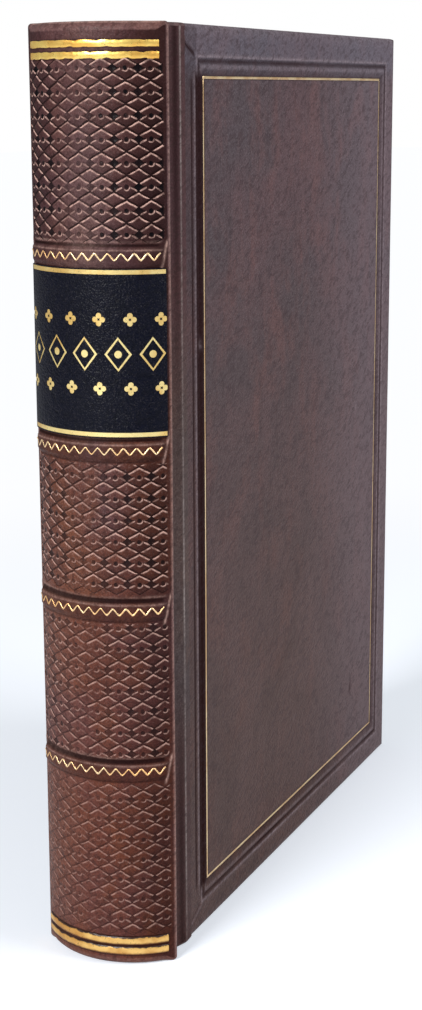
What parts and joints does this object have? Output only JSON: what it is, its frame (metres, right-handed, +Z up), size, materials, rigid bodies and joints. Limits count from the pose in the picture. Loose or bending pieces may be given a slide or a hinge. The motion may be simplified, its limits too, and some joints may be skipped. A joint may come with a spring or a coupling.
{
  "type": "leather-bound book",
  "caption": "Closed leather-bound book standing on its tail, with a rounded spine, raised bands, a label and panelled covers that swing open.",
  "frame": {"origin": "middle of the book in width and depth, on the surface it stands on", "axes": "+Z up from tail to head, +X out of the front cover, +Y from the spine to the fore edge"},
  "size_m": [0.0328, 0.1644, 0.21],
  "materials": {
    "covering_leather": "dark brown goatskin with a satin polish and a fine grain",
    "label_leather": "dark blue thin goatskin, fine grain",
    "gold_leaf": "gold leaf pressed into the leather, slightly worn",
    "leaves": "cream leaves, matt, fine lines of the sheets' edges",
    "endpaper": "cream laid paper, matt",
    "endband_silk": "worked silk in two colours",
    "tape": "unbleached linen tape",
    "lining_cloth": "open cotton cloth",
    "hollow_paper": "brown kraft paper",
    "band_strip": "undyed leather strips",
    "board": "dense grey millboard",
    "infill_card": "thin pale card"
  },
  "bodies": {
    "root": {"text_block": "leaves", "front_flyleaf": "endpaper", "back_flyleaf": "endpaper", "head_endband": "endband_silk", "tail_endband": "endband_silk", "sewing_tape_1": "tape", "sewing_tape_2": "tape", "sewing_tape_3": "tape", "sewing_tape_4": "tape", "spine_lining": "lining_cloth", "spine_hollow": "hollow_paper", "raised_band_1": "band_strip", "raised_band_2": "band_strip", "raised_band_3": "band_strip", "raised_band_4": "band_strip", "spine_leather": "covering_leather", "title_label": "label_leather", "label_gilding": "gold_leaf", "head_gilt_rules": "gold_leaf", "tail_gilt_rules": "gold_leaf", "band_gilding_1": "gold_leaf", "band_gilding_2": "gold_leaf", "band_gilding_3": "gold_leaf", "band_gilding_4": "gold_leaf"},
    "front_cover": {"front_board": "board", "front_leather": "covering_leather", "front_infill": "infill_card", "front_pastedown": "endpaper", "front_gilt_fillet": "gold_leaf"},
    "back_cover": {"back_board": "board", "back_leather": "covering_leather", "back_infill": "infill_card", "back_pastedown": "endpaper", "back_gilt_fillet": "gold_leaf"}
  },
  "joints": [
    {"name": "front_cover_hinge", "type": "hinge", "parent": "root", "child": "front_cover", "pos_m": [0.015, -0.0708, 0.105], "axis": [0, 0, -1], "range_deg": [0, 178]},
    {"name": "back_cover_hinge", "type": "hinge", "parent": "root", "child": "back_cover", "pos_m": [-0.015, -0.0708, 0.105], "axis": [0, 0, 1], "range_deg": [0, 178]}
  ]
}
